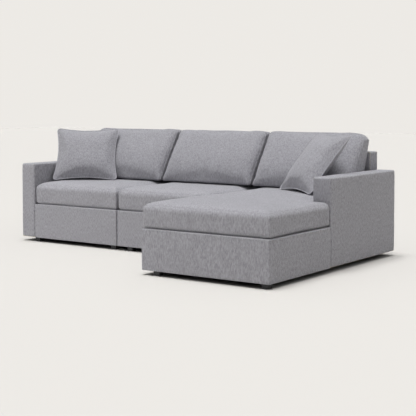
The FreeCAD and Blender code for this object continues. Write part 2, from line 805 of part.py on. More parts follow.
# Seat cushion, built from the floor of its own corner: rounded edges, sides drawn in, crowned top
def seatForm(corners, height, crown, skin):
    edge = size("seatEdgeRadius") - skin
    draw = size("seatSideDraw")
    count = len(corners)
    reaches = []
    for k in range(count):
        arriving, leaving = corners[k] - corners[k - 1], corners[(k + 1) % count] - corners[k]
        notch = arriving.cross(leaving).z < 0
        reaches.append(size("seatNotchRadius") if notch else size("seatCornerRadius"))
    low, top = skin, height - skin
    stations = [
        (low, edge * 0.6, 0),
        (low + edge * 0.25, edge * 0.2, 0.4),
        (low + edge * 0.7, edge * 0.05, 0.8),
        ((low + top) / 2, 0, 1),
        (top - edge, edge * 0.06, 0.9),
        (top - edge * 0.5, edge * 0.2, 0.7),
        (top - edge * 0.15, edge * 0.52, 0.4),
        (top, edge, 0.2),
        (top + crown * 0.3, edge * 2.6, 0),
        (top + crown * 0.6, edge * 5, 0),
        (top + crown * 0.85, edge * 8, 0),
        (top + crown, edge * 12, 0),
    ]
    rings = []
    for z, inset, share in stations:
        ring = insetCorners([corner + Vector(0, 0, z) for corner in corners], upwards, inset + skin)
        rings.append(softRing(ring, upwards, reaches, [-draw * share] * count))
    return Part.makeLoft(rings, True, True)


def seatCushion(module, corners):
    base = Vector(corners[0].x, corners[0].y, spot("seatCushionBottom"))
    local = [Vector(corner.x - base.x, corner.y - base.y, 0) for corner in corners]
    height = size("seatEdgeHeight") - spot("seatCushionBottom")
    skin, fill = size("cushionFabric"), size("cushionFill")
    outer = seatForm(local, height, size("seatCrown"), 0)
    lining = seatForm(local, height, size("seatCrown"), skin)
    core = seatForm(local, height, size("seatCrown"), skin + fill)
    placement = Placement(base, Rotation())
    addShape(module + "_seat_cushion_cover", hollow(outer, lining), placement)
    addShape(module + "_seat_cushion_foam", core, placement)


halfGap = (size("moduleGap") - size("cushionGap")) / 2
armGap = size("cushionArmGap")
cushionFront = spot("seatFront") + size("restGap")
cushionRear = spot("backFront") - armGap


def squareCorners(start, end, front, rear):
    return [Vector(start, front, 0), Vector(end, front, 0), Vector(end, rear, 0), Vector(start, rear, 0)]


cushionSpans = {
    "left": (spot("leftStart") + armGap, spot("leftEnd") + halfGap),
    "middle": (spot("middleStart") - halfGap, spot("middleEnd") + halfGap),
    "chaise": (spot("chaiseStart") - halfGap, spot("chaiseEnd") - armGap),
}
for module in ("left", "middle"):
    spanStart, spanEnd = cushionSpans[module]
    seatCushion(module, squareCorners(spanStart, spanEnd, cushionFront, cushionRear))
limbSide = spot("rightEdge") - size("restGap")
chaiseLip = spot("chaiseFront") + size("restGap")
chaiseSpan = cushionSpans["chaise"]
seatCushion(
    "chaise",
    [
        Vector(chaiseSpan[0], chaiseLip, 0),
        Vector(limbSide, chaiseLip, 0),
        Vector(limbSide, spot("seatFront") - armGap, 0),
        Vector(chaiseSpan[1], spot("seatFront") - armGap, 0),
        Vector(chaiseSpan[1], cushionRear, 0),
        Vector(chaiseSpan[0], cushionRear, 0),
    ],
)


# Back cushion: a leaning wedge lofted across its width, thick below, round at the top corners
def backForm(width, skin):
    foot, crest = size("backCushionFoot"), size("backCushionCrest")
    tall = size("backCushionTop") - spot("backCushionBottom")
    lean = math.tan(math.radians(size("backCushionLean")))
    crown, shoulder = size("backCushionCrown"), size("backCushionShoulder")
    reach = size("backCushionRadius") - skin
    stations = [
        (0, 18, 1, 0),
        (10, 6, 0.72, 0.15),
        (32, 1, 0.36, 0.35),
        (80, 0, 0.1, 0.65),
        (190, 0, 0, 0.88),
    ]
    across = [(skin + distance, inset, drop, swell) for distance, inset, drop, swell in stations]
    across += [(width / 2, 0, 0, 1)]
    across += [(width - place, inset, drop, swell) for place, inset, drop, swell in reversed(across[:-1])]
    toRight = Vector(1, 0, 0)
    rings = []
    for x, inset, drop, swell in across:
        top = tall - shoulder * drop
        rear = foot + top * lean
        profile = [
            Vector(x, 0, 0),
            Vector(x, foot, 0),
            Vector(x, rear, top),
            Vector(x, rear - crest, top),
        ]
        ring = insetCorners(profile, toRight, inset + skin)
        rings.append(softRing(ring, toRight, [reach] * 4, [0, 0, crown * 0.55 * swell, crown * swell]))
    return Part.makeLoft(rings, True, True)


def backCushion(module, span):
    start, end = span
    width = end - start
    skin, fill = size("cushionFabric"), size("cushionFill")
    base = Vector(start, spot("seatFront") + size("backCushionSetback"), spot("backCushionBottom"))
    outer, lining, core = backForm(width, 0), backForm(width, skin), backForm(width, skin + fill)
    placement = Placement(base, Rotation())
    addShape(module + "_back_cushion_cover", hollow(outer, lining), placement)
    addShape(module + "_back_cushion_fill", core, placement)


for module, span in cushionSpans.items():
    backCushion(module, span)


# Square ring in the x-z plane: sides bow inwards by draw and meet round corners without a kink
def pillowRing(half, reach, draw, y):
    chord = half - reach
    turn = 2 * math.atan(draw / chord)
    radius = reach / (math.sin(turn) + math.cos(turn))
    tip = chord + radius * math.sin(turn) + radius * math.sqrt(0.5)
    edges = []
    for quarter in range(4):
        spin = Rotation(Vector(0, 1, 0), 90 * quarter)
        start, bow, end, corner, beyond = [
            spin.multVec(Vector(x, y, z))
            for x, z in ((-chord, half), (0, half - draw), (chord, half), (tip, tip), (half, chord))
        ]
        edges.append(Part.Arc(start, bow, end).toShape())
        edges.append(Part.Arc(end, corner, beyond).toShape())
    return Part.Wire(edges)


# Throw pillow standing in that plane: pointed corners, sides drawn in, thick in the middle
def pillowForm(skin):
    half = size("pillowSide") / 2 - skin
    thick = size("pillowThickness") / 2 - skin
    # share of the half thickness, distance in from the seam, share of the drawn-in sides
    rise = [(0, 0, 1), (0.16, 8, 0.97), (0.36, 32, 0.86), (0.56, 64, 0.7), (0.75, 104, 0.5), (0.9, 150, 0.3),
            (1, 205, 0.1)]
    rings = []
    for share, inset, drawn in [(-a, b, c) for a, b, c in reversed(rise[1:])] + rise:
        reach = size("pillowCorner") + 0.06 * inset
        rings.append(pillowRing(half - inset, reach, size("pillowSideDraw") * drawn, thick * share))
    return Part.makeLoft(rings, True, True)


def pipingForm():
    radius = size("pipingDiameter") / 2
    outset = radius + size("restGap")
    half = size("pillowSide") / 2 + outset
    path = pillowRing(half, size("pillowCorner") + outset, size("pillowSideDraw"), 0)
    first = path.Edges[0]
    start = first.valueAt(first.FirstParameter)
    section = Part.Wire(Part.Circle(start, first.tangentAt(first.FirstParameter), radius).toShape())
    return path.makePipeShell([section], True, False)


pillowSkin, pillowGap = size("pillowFabric"), size("cushionFill")
pillowOuter, pillowLining = pillowForm(0), pillowForm(pillowSkin)
pillowCore = pillowForm(pillowSkin + pillowGap)
pillowPiping = pipingForm()
for side, x in (
    ("left", spot("leftStart") + size("leftPillowFromArm")),
    ("right", spot("chaiseEnd") - size("rightPillowFromArm")),
):
    turn = Rotation(upwards, size(side + "PillowTurn"))
    lean = Rotation(Vector(1, 0, 0), -size(side + "PillowLean"))
    y = spot("seatFront") + size(side + "PillowFromFront")
    pose = Placement(Vector(0, 0, 0), turn.multiply(lean))
    standing = pillowPiping.copy()
    standing.Placement = pose
    rise = spot("seatCrownTop") + size("restGap") - standing.optimalBoundingBox(False, False).ZMin
    placement = Placement(Vector(x, y, rise), pose.Rotation)
    addShape(side + "_pillow_cover", hollow(pillowOuter, pillowLining), placement)
    addShape(side + "_pillow_insert", pillowCore.copy(), placement)
    addShape(side + "_pillow_piping", pillowPiping.copy(), placement)

doc.recompute()

# Every object has to be sound before anything is written
for item in doc.Objects:
    if "Invalid" in item.State or "Error" in item.State:
        raise RuntimeError("failed: " + item.Label)
for label, item in nodes.items():
    if item.Shape.isNull() or not item.Shape.isValid() or not item.Shape.Solids:
        raise RuntimeError("unsound shape: " + label)

os.makedirs("parts", exist_ok=True)
for label, item in nodes.items():
    item.Shape.exportStep(os.path.join("parts", label + ".step"))
print("wrote", len(nodes), "nodes")
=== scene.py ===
import json
import math

import bmesh
import bpy
import numpy as np
from mathutils import Matrix, Vector

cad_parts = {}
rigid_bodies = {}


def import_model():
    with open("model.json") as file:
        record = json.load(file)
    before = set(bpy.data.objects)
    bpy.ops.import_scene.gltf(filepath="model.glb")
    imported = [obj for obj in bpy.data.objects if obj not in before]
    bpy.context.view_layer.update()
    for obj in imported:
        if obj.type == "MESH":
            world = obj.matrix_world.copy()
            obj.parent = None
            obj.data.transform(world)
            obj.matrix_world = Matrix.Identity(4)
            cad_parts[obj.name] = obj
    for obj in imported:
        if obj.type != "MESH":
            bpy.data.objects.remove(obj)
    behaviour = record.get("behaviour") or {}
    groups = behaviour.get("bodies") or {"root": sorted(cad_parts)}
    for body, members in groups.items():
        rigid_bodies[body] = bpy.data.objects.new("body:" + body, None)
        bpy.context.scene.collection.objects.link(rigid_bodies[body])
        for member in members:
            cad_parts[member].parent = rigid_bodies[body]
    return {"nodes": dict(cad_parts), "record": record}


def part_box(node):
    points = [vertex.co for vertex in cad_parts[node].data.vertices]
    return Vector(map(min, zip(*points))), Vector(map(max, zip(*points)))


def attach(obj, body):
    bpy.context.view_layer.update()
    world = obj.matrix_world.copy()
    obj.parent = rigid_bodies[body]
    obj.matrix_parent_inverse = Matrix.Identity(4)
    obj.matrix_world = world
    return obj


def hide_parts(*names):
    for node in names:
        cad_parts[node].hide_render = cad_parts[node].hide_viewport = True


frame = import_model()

scene = bpy.context.scene
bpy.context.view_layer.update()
print("frame loaded:", len(frame["nodes"]), "nodes")

# Camera, floor and light

studio = {
    "cameraPlace": (4.5791, -5.9659, 1.1037),
    "cameraTurn": 35.09,      # degrees round to the right
    "cameraDip": 3.0,         # degrees downwards
    "lens": 88.94,
    "sensor": 36,
    "shift": (-0.009, -0.1235),
    "paleColour": (0.847, 0.823, 0.787),
    "floorColour": (0.643, 0.626, 0.599),
    "floorReach": 28.0,
    "backdropRadius": 60.0,
    "roomColour": (1.0, 0.99, 0.98),
    "roomLight": 0.085,
    "keyTurn": -60.0,         # degrees, where the key light comes from
    "keyHeight": 85.0,
    "keyStrength": 2.6,
    "keySoftness": 26.0,
    "topStrength": 1.3,
    "topSoftness": 140.0,
    "frontPlace": (-2.4, -4.0, 0.42),    # low soft box at the front left
    "frontAim": (-0.4, -0.3, 0.3),
    "frontSize": (2.4, 0.7),
    "frontPower": 43.0,
}


def addLamp(name, kind, strength):
    data = bpy.data.lights.new(name, kind)
    data.energy = strength
    lamp = bpy.data.objects.new(name, data)
    scene.collection.objects.link(lamp)
    return lamp


def sunLight(name, turn, height, strength, softness):
    lamp = addLamp(name, "SUN", strength)
    lamp.data.angle = math.radians(softness)
    lamp.rotation_euler = (math.radians(90 - height), 0, math.radians(turn))


# What is spared isn't lit by the soft box, as if it stood behind a flag
spared = bpy.data.collections.new("spared")


def softBox(name, place, aim, size, strength):
    lamp = addLamp(name, "AREA", strength)
    lamp.data.shape = "RECTANGLE"
    lamp.data.size, lamp.data.size_y = size
    lamp.location = place
    lamp.rotation_euler = (Vector(aim) - Vector(place)).to_track_quat("-Z", "Y").to_euler()
    lamp.visible_camera = False
    lamp.light_linking.receiver_collection = spared


def spare(piece):
    spared.objects.link(piece)
    spared.collection_objects[len(spared.objects) - 1].light_linking.link_state = "EXCLUDE"


def plainMaterial(name, colour, glow=False):
    material = bpy.data.materials.new(name)
    material.use_nodes = True
    tree = material.node_tree
    tree.nodes.clear()
    output = tree.nodes.new("ShaderNodeOutputMaterial")
    shader = tree.nodes.new("ShaderNodeEmission" if glow else "ShaderNodeBsdfDiffuse")
    shader.inputs["Color"].default_value = (*colour, 1)
    tree.links.new(shader.outputs[0], output.inputs["Surface"])
    return material


def buildStudio():
    camera = bpy.data.objects.new("camera", bpy.data.cameras.new("camera"))
    scene.collection.objects.link(camera)
    scene.camera = camera
    camera.location = studio["cameraPlace"]
    camera.rotation_euler = (math.radians(90 - studio["cameraDip"]), 0, math.radians(studio["cameraTurn"]))
    camera.data.lens = studio["lens"]
    camera.data.sensor_width = studio["sensor"]
    camera.data.shift_x, camera.data.shift_y = studio["shift"]

    floorMesh = bpy.data.meshes.new("studioFloor")
    reach = studio["floorReach"]
    corners = [(-reach, -reach, 0), (reach, -reach, 0), (reach, reach, 0), (-reach, reach, 0)]
    floorMesh.from_pydata(corners, [], [(0, 1, 2, 3)])
    floor = bpy.data.objects.new("studioFloor", floorMesh)
    scene.collection.objects.link(floor)
    floorMesh.materials.append(plainMaterial("paleFloor", studio["floorColour"]))

    shell = bmesh.new()
    bmesh.ops.create_uvsphere(shell, u_segments=48, v_segments=24, radius=studio["backdropRadius"])
    backdropMesh = bpy.data.meshes.new("studioBackdrop")
    shell.to_mesh(backdropMesh)
    shell.free()
    backdrop = bpy.data.objects.new("studioBackdrop", backdropMesh)
    scene.collection.objects.link(backdrop)
    backdropMesh.materials.append(plainMaterial("paleBackdrop", studio["paleColour"], glow=True))
    backdrop.visible_diffuse = False      # it is only a pale ground, the lamps do the lighting
    backdrop.visible_glossy = False
    backdrop.visible_shadow = False

    world = bpy.data.worlds.new("room")
    scene.world = world
    world.use_nodes = True
    ground = world.node_tree.nodes["Background"]
    ground.inputs["Color"].default_value = (*studio["roomColour"], 1)
    ground.inputs["Strength"].default_value = studio["roomLight"]
    sunLight("keyLamp", studio["keyTurn"], studio["keyHeight"], studio["keyStrength"], studio["keySoftness"])
    sunLight("topLamp", 0, 90, studio["topStrength"], studio["topSoftness"])
    place, aim = studio["frontPlace"], studio["frontAim"]
    softBox("frontLamp", place, aim, studio["frontSize"], studio["frontPower"])
    spare(floor)
    scene.view_settings.view_transform = "Standard"


buildStudio()
print("studio ready")

# Materials

cloth = {
    "colour": (0.362, 0.358, 0.388),
    "flecks": 160.0,          # per metre
    "fleckStretch": (1.0, 0.6, 0.32),
    "fleckDetail": 4.0,
    "fleckRoughness": 0.62,
    "fleckSpread": 1.45,      # share of the colour between the noise's two ends
    "clouds": 9.0,            # per metre
    "cloudDetail": 3.0,
    "cloudRoughness": 0.5,
    "cloudSpread": 0.10,
    "threadPitch": 0.0024,
    "threadSpread": 0.10,
    "threadHeight": 0.00045,
    "threadStrength": 0.8,
    "slubHeight": 0.0009,
    "slubStrength": 0.6,
    "roughness": 0.93,
    "specular": 0.18,
    "sheen": 0.22,
    "sheenRoughness": 0.45,
}


def addNode(tree, kind, **values):
    node = tree.nodes.new(kind)
    for name, value in values.items():
        if name in node.bl_rna.properties.keys():
            setattr(node, name, value)
        else:
            node.inputs[name].default_value = value
    return node


def mathNode(tree, operation, first, second=None):
    node = tree.nodes.new("ShaderNodeMath")
    node.operation = operation
    for place, value in enumerate((first, second)):
        if value is None:
            continue
        if isinstance(value, (int, float)):
            node.inputs[place].default_value = value
        else:
            tree.links.new(value, node.inputs[place])
    return node.outputs[0]


def startMaterial(name):
    material = bpy.data.materials.new(name)
    material.use_nodes = True
    tree = material.node_tree
    return material, tree, tree.nodes["Principled BSDF"]


# Crossed threads: on each face they run along the two axes that the face lies in
def weave(tree, coords):
    place, way = tree.nodes.new("ShaderNodeSeparateXYZ"), tree.nodes.new("ShaderNodeSeparateXYZ")
    tree.links.new(coords.outputs["Object"], place.inputs[0])
    tree.links.new(coords.outputs["Normal"], way.inputs[0])
    waves = []
    for axis in range(3):
        angle = mathNode(tree, "MULTIPLY", place.outputs[axis], 2 * math.pi / cloth["threadPitch"])
        waves.append(mathNode(tree, "SINE", angle))
    threads = None
    for axis, (one, other) in enumerate(((1, 2), (0, 2), (0, 1))):
        crossing = mathNode(tree, "MULTIPLY", waves[one], waves[other])
        share = mathNode(tree, "POWER", mathNode(tree, "ABSOLUTE", way.outputs[axis]), 2.0)
        part = mathNode(tree, "MULTIPLY", crossing, share)
        threads = part if threads is None else mathNode(tree, "ADD", threads, part)
    return threads


# A noise's swing about its middle, times a spread
def swing(tree, noise, spread):
    return mathNode(tree, "MULTIPLY", mathNode(tree, "SUBTRACT", noise.outputs[0], 0.5), spread)


# Woven upholstery cloth: flecked yarns, faint clouds and thread relief
def wovenCloth(name, lightness=1.0):
    material, tree, shader = startMaterial(name)
    link = tree.links.new
    coords = tree.nodes.new("ShaderNodeTexCoord")
    threads = weave(tree, coords)
    stretched = addNode(tree, "ShaderNodeMapping")
    stretched.inputs["Scale"].default_value = cloth["fleckStretch"]
    flecks = addNode(
        tree, "ShaderNodeTexNoise", Scale=cloth["flecks"], Detail=cloth["fleckDetail"],
        Roughness=cloth["fleckRoughness"]
    )
    clouds = addNode(
        tree, "ShaderNodeTexNoise", Scale=cloth["clouds"], Detail=cloth["cloudDetail"],
        Roughness=cloth["cloudRoughness"]
    )
    link(coords.outputs["Object"], stretched.inputs["Vector"])
    link(stretched.outputs[0], flecks.inputs["Vector"])
    link(coords.outputs["Object"], clouds.inputs["Vector"])
    fleckShare = swing(tree, flecks, cloth["fleckSpread"])
    cloudShare = swing(tree, clouds, cloth["cloudSpread"])
    threadShare = mathNode(tree, "MULTIPLY", threads, cloth["threadSpread"])
    tone = mathNode(tree, "ADD", threadShare, lightness)
    tone = mathNode(tree, "ADD", mathNode(tree, "ADD", fleckShare, cloudShare), tone)
    tint = addNode(tree, "ShaderNodeVectorMath", operation="SCALE")
    tint.inputs[0].default_value = cloth["colour"]
    link(tone, tint.inputs["Scale"])
    link(tint.outputs[0], shader.inputs["Base Color"])

    slubs = addNode(tree, "ShaderNodeBump", Strength=cloth["slubStrength"], Distance=cloth["slubHeight"])
    relief = addNode(tree, "ShaderNodeBump", Strength=cloth["threadStrength"], Distance=cloth["threadHeight"])
    link(flecks.outputs[0], slubs.inputs["Height"])
    link(threads, relief.inputs["Height"])
    link(slubs.outputs[0], relief.inputs["Normal"])
    link(relief.outputs[0], shader.inputs["Normal"])
    shader.inputs["Roughness"].default_value = cloth["roughness"]
    shader.inputs["Specular IOR Level"].default_value = cloth["specular"]
    shader.inputs["Sheen Weight"].default_value = cloth["sheen"]
    shader.inputs["Sheen Roughness"].default_value = cloth["sheenRoughness"]
    return material


grain = {
    "detail": 4.0,
    "noiseRoughness": 0.6,
    "darkEnd": 0.34,          # noise value where the dark tone ends
    "lightStart": 0.68,
    "bumpStrength": 0.7,
}


# Two tones mixed by a noise, with a bump of the same noise
def grainy(name, dark, light, scale, stretch=(1, 1, 1), rough=0.6, metal=0.0, height=0.0003):
    material, tree, shader = startMaterial(name)
    link = tree.links.new
    coords = tree.nodes.new("ShaderNodeTexCoord")
    mapping = addNode(tree, "ShaderNodeMapping")
    mapping.inputs["Scale"].default_value = stretch
    noise = addNode(
        tree, "ShaderNodeTexNoise", Scale=scale, Detail=grain["detail"], Roughness=grain["noiseRoughness"]
    )
    ramp = tree.nodes.new("ShaderNodeValToRGB")
    stops = ((grain["darkEnd"], dark), (grain["lightStart"], light))
    for stop, (place, colour) in zip(ramp.color_ramp.elements, stops):
        stop.position = place
        stop.color = (*colour, 1)
    bump = addNode(tree, "ShaderNodeBump", Strength=grain["bumpStrength"], Distance=height)
    link(coords.outputs["Object"], mapping.inputs["Vector"])
    link(mapping.outputs[0], noise.inputs["Vector"])
    link(noise.outputs[0], ramp.inputs["Fac"])
    link(ramp.outputs[0], shader.inputs["Base Color"])
    link(noise.outputs[0], bump.inputs["Height"])
    link(bump.outputs[0], shader.inputs["Normal"])
    shader.inputs["Roughness"].default_value = rough
    shader.inputs["Metallic"].default_value = metal
    return material


finishes = {
    "sofa_fabric": wovenCloth("greyWeave"),
    # The piping is the sofa's cloth made 1.22 times lighter: a painted highlight along the pillows' rims
    "piping_fabric": wovenCloth("pipingWeavePaintedHighlight", 1.22),
    "black_foot": grainy("blackPlastic", (0.010, 0.010, 0.011), (0.022, 0.022, 0.024), 900, rough=0.55),
    "dust_cloth": grainy("blackDustCloth", (0.006, 0.006, 0.006), (0.02, 0.02, 0.02), 700, rough=0.95),
    "foam": grainy("creamFoam", (0.66, 0.60, 0.42), (0.85, 0.80, 0.62), 500, rough=0.95, height=0.001),
    "fibre_fill": grainy("whiteFibre", (0.78, 0.78, 0.76), (0.92, 0.92, 0.91), 300, rough=0.98, height=0.002),
    "deck_felt": grainy("greyFelt", (0.07, 0.07, 0.075), (0.16, 0.16, 0.165), 600, rough=0.97),
    "timber": grainy("planedPine", (0.50, 0.31, 0.15), (0.74, 0.55, 0.34), 26, (1, 0.08, 1.6), 0.62),
    "plywood": grainy("birchPlywood", (0.55, 0.38, 0.21), (0.74, 0.58, 0.38), 34, (0.1, 1.0, 6.0), 0.58),
    "spring_wire": grainy(
        "springSteel", (0.10, 0.10, 0.105), (0.22, 0.22, 0.225), 400, rough=0.38, metal=1.0
    ),
    "spring_clip": grainy("clipZinc", (0.42, 0.42, 0.42), (0.62, 0.62, 0.61), 250, rough=0.36, metal=1.0),
    "zinc_bolt": grainy("boltZinc", (0.45, 0.45, 0.44), (0.66, 0.66, 0.65), 300, rough=0.33, metal=1.0),
    "zinc_plate": grainy("plateZinc", (0.40, 0.40, 0.39), (0.62, 0.62, 0.60), 160, rough=0.4, metal=1.0),
}
finishes["pillow_fabric"] = finishes["sofa_fabric"]
for subpart in frame["record"]["subparts"]:
    node = frame["nodes"][subpart["node"]]
    node.data.materials.clear()
    node.data.materials.append(finishes[subpart["material_slot"]])
print("materials ready")

# Shapes

tiny = 1e-9                   # keeps a division clear of nought
touching = 1e-4               # metres, what is nearer than this lies on the face


# Lattice lines along one side: close together over the rounded edge, even between
def latticeLines(start, end, radius, spacing, steps):
    edge = [radius * (1 - math.tan(math.pi / 4 * (steps - k) / steps)) for k in range(steps + 1)]
    length = end - start
    count = max(2, round((length - 2 * radius) / spacing))
    middle = [radius + (length - 2 * radius) * k / count for k in range(1, count)]
    return [start + t for t in edge + middle] + [end - t for t in reversed(edge)]


def boxLines(low, high, radius, settings):
    spacing, steps = settings["spacing"], settings["edgeSteps"]
    return [latticeLines(start, end, radius, spacing, steps) for start, end in zip(low, high)]


# Lines for the inner corner of an L, in place of the ones that come too close to it
def cornerLines(lines, wall, edge, clear):
    kept = set(line for line in lines if abs(line - wall) > clear)
    return sorted(kept | {wall - edge, wall - edge / 2, wall})


# The skin of a block of lattice cells, faces outwards; areas are (x0, x1, y0, y1) seen from above
def latticeSkin(lines, areas, openBelow=False):
    xs, ys, zs = lines
    filled = {}
    for i in range(len(xs) - 1):
        for j in range(len(ys) - 1):
            x, y = (xs[i] + xs[i + 1]) / 2, (ys[j] + ys[j + 1]) / 2
            filled[i, j] = any(a < x < b and c < y < d for a, b, c, d in areas)
    numbers, places, faces, below = {}, [], [], []

    def corner(i, j, k):
        if (i, j, k) not in numbers:
            numbers[i, j, k] = len(places)
            places.append((xs[i], ys[j], zs[k]))
        return numbers[i, j, k]

    def quad(*keys, low=False):
        faces.append([corner(*key) for key in keys])
        below.append(low)

    top = len(zs) - 1
    for (i, j), full in filled.items():
        if not full:
            continue
        quad((i, j, top), (i + 1, j, top), (i + 1, j + 1, top), (i, j + 1, top))
        if not openBelow:
            quad((i, j, 0), (i, j + 1, 0), (i + 1, j + 1, 0), (i + 1, j, 0), low=True)
        for k in range(top):
            if not filled.get((i - 1, j)):
                quad((i, j, k), (i, j, k + 1), (i, j + 1, k + 1), (i, j + 1, k))
            if not filled.get((i + 1, j)):
                quad((i + 1, j, k), (i + 1, j + 1, k), (i + 1, j + 1, k + 1), (i + 1, j, k + 1))
            if not filled.get((i, j - 1)):
                quad((i, j, k), (i + 1, j, k), (i + 1, j, k + 1), (i, j, k + 1))
            if not filled.get((i, j + 1)):
                quad((i, j + 1, k), (i, j + 1, k + 1), (i + 1, j + 1, k + 1), (i + 1, j + 1, k))
    return np.array(places), faces, below


# Points of a sharp-edged block drawn in to rounded edges
def roundEdges(sharp, areas, low, high, radius, roundBelow=True):
    best, bestGap = None, None
    for x0, x1, y0, y1 in areas:
        near = (x0 + radius, y0 + radius, low + radius if roundBelow else low - radius)
        far = (x1 - radius, y1 - radius, high - radius)
        inner = np.clip(sharp, near, far)
        gap = np.linalg.norm(sharp - inner, axis=1)
        if best is None:
            best, bestGap = inner, gap
        else:
            closer = gap < bestGap
            best[closer], bestGap[closer] = inner[closer], gap[closer]
    scale = np.minimum(1, radius / np.maximum(bestGap, tiny))
    return best + (sharp - best) * scale[:, None]


waves = {"count": 7, "shortest": 0.6, "longest": 1.6}     # lengths as shares of the one asked for


# Soft unevenness of stretched cloth, from a few long waves that the seed draws
def unevenness(points, seed, length, height):
    draw = np.random.RandomState(seed)
    total = np.zeros(len(points))
    for _ in range(waves["count"]):
        way = draw.normal(size=3)
        way /= np.linalg.norm(way)
        pitch = length * draw.uniform(waves["shortest"], waves["longest"])
        total += np.sin(points @ way * 2 * math.pi / pitch + draw.uniform(0, 2 * math.pi))
    return total * height / 3


def newObject(name, points, faces, material):
    mesh = bpy.data.meshes.new(name)
    mesh.from_pydata([tuple(point) for point in points], [], faces)
    mesh.materials.append(material)
    mesh.shade_smooth()
    piece = bpy.data.objects.new(name, mesh)
    scene.collection.objects.link(piece)
    return piece


def readVectors(rows, name):
    flat = np.empty(len(rows) * 3, np.float32)
    rows.foreach_get(name, flat)
    return flat.reshape(-1, 3).astype(float)


def getPoints(mesh):
    return readVectors(mesh.vertices, "co")


def setPoints(mesh, points):
    mesh.vertices.foreach_set("co", np.asarray(points, np.float32).ravel())
    mesh.update()


def pointNormals(mesh):
    return readVectors(mesh.vertex_normals, "vector")


# Each point's place before rounding and sewing, kept through the subdivision
def setMarks(mesh, values):
    mark = mesh.attributes.new("sharp", "FLOAT_VECTOR", "POINT")
    mark.data.foreach_set("vector", np.asarray(values, np.float32).ravel())


def getMarks(mesh):
    return readVectors(mesh.attributes["sharp"].data, "vector")


def madeMesh(piece):
    scene.view_layers[0].update()
    return bpy.data.meshes.new_from_object(piece.evaluated_get(bpy.context.evaluated_depsgraph_get()))


def applyModifiers(piece):
    made = madeMesh(piece)
    piece.modifiers.clear()
    old = piece.data
    piece.data = made
    bpy.data.meshes.remove(old)
    made.name = piece.name


def subdivide(piece):
    modifier = piece.modifiers.new("subdivide", "SUBSURF")
    modifier.levels = modifier.render_levels = 1
    applyModifiers(piece)


def span(node):
    low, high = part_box(node)
    return np.array(low), np.array(high)


def outlineArea(low, high):
    return low[0], high[0], low[1], high[1]


# How far a panel is from its own edges, 0 at the edges and 1 well inside
def inside(value, low, high, reach):
    near = 1 - np.exp(-np.clip(value - low, 0, None) / reach)
    far = 1 - np.exp(-np.clip(high - value, 0, None) / reach)
    return near * far


def seamDip(gap, settings):
    return settings["seamDepth"] * np.exp(-(gap / settings["seamWidth"]) ** 2)


# Upholstered arms, backs and bases

upholstery = {
    "spacing": 0.026,
    "edgeSteps": 4,
    "armEdge": 0.014,
    "backEdge": 0.012,
    "baseEdge": 0.008,
    "slack": 0.00132,         # how far a cover starts inside its CAD box
    "fullness": 0.0022,       # how far a panel stands out in its middle
    "fullReach": 0.05,
    "unevenness": 0.0007,
    "waveLength": 0.22,
    "seamDepth": 0.0016,
    "seamWidth": 0.0035,
    "seamTurn": 1.25,         # a seam fades on faces that look the way it lies
    "cornerClear": 1.2,       # in edges
    "clearance": 0.0003,      # between neighbouring pieces, as in the CAD
    "wall": 0.0032,
    "fill": 1.0,
    "baseSeed": 11,
    "backSeed": 21,
    "armSeed": 31,
}


def upholster(name, areas, low, high, edge, seams, seed, openBelow):
    x0, x1 = min(area[0] for area in areas), max(area[1] for area in areas)
    y0, y1 = min(area[2] for area in areas), max(area[3] for area in areas)
    xs, ys, zs = boxLines((x0, y0, low), (x1, y1, high), edge, upholstery)
    if len(areas) > 1:
        xs = cornerLines(xs, areas[0][1], edge, edge * upholstery["cornerClear"])
        ys = cornerLines(ys, areas[1][3], edge, edge * upholstery["cornerClear"])
    sharp, faces, below = latticeSkin((xs, ys, zs), areas, openBelow)
    points = roundEdges(sharp, areas, low, high, edge, roundBelow=not openBelow)
    piece = newObject(name, points, faces, finishes["sofa_fabric"])
    normals = pointNormals(piece.data)
    full = np.ones(len(sharp))
    for axis, (start, end) in enumerate(((x0, x1), (y0, y1), (low, high))):
        across = 1 - np.abs(normals[:, axis])
        full *= 1 - across + across * inside(sharp[:, axis], start, end, upholstery["fullReach"])
    ripple = unevenness(points, seed, upholstery["waveLength"], upholstery["unevenness"])
    shift = full * (upholstery["fullness"] + ripple)
    for axis, place in seams:
        across = np.clip(upholstery["seamTurn"] - np.abs(normals[:, axis]), 0, 1)
        shift -= seamDip(np.abs(sharp[:, axis] - place), upholstery) * across
    setPoints(piece.data, points + normals * shift[:, None])
    if openBelow:
        wall = piece.modifiers.new("wall", "SOLIDIFY")
        wall.thickness = upholstery["wall"]
        wall.offset = -1
        applyModifiers(piece)
    else:
        piece.data.materials.append(finishes["dust_cloth"])
        for polygon, under in zip(piece.data.polygons, below):
            polygon.material_index = 1 if under else 0
    return piece


def finishPiece(piece, body, nodes):
    piece.data.shade_smooth()
    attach(piece, body)
    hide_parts(*nodes)


# A cover's box, a little inside its CAD box except at the bottom
def coverSpan(node):
    low, high = span(node)
    slack = upholstery["slack"]
    return low + np.array((slack, slack, 0)), high - slack


def baseCover(module, seed):
    low, high = coverSpan(module + "_base_cover")
    areas = [outlineArea(low, high)]
    if module == "chaise":    # an L: beside the arm it is only as wide as the seat
        seatEnd = span("chaise_back_cover")[1][0] - upholstery["slack"]
        armFront = span("chaise_arm_cover")[0][1] - upholstery["clearance"] - upholstery["slack"]
        areas = [(low[0], seatEnd, low[1], high[1]), (low[0], high[0], low[1], armFront)]
    edge, seams = upholstery["baseEdge"], [(1, low[1])]
    piece = upholster(module + "BaseCover", areas, low[2], high[2], edge, seams, seed, openBelow=True)
    finishPiece(piece, module + "_module", [module + "_base_cover"])


# The cover of an arm or a low back, with seams along its front and rear edges
def boxCover(module, part, seed):
    node = "%s_%s_cover" % (module, part)
    low, high = coverSpan(node)
    edge, seams = upholstery[part + "Edge"], [(1, low[1]), (1, high[1])]
    name = module + part.capitalize() + "Cover"
    piece = upholster(name, [outlineArea(low, high)], low[2], high[2], edge, seams, seed, openBelow=False)
    finishPiece(piece, module + "_module", [node])


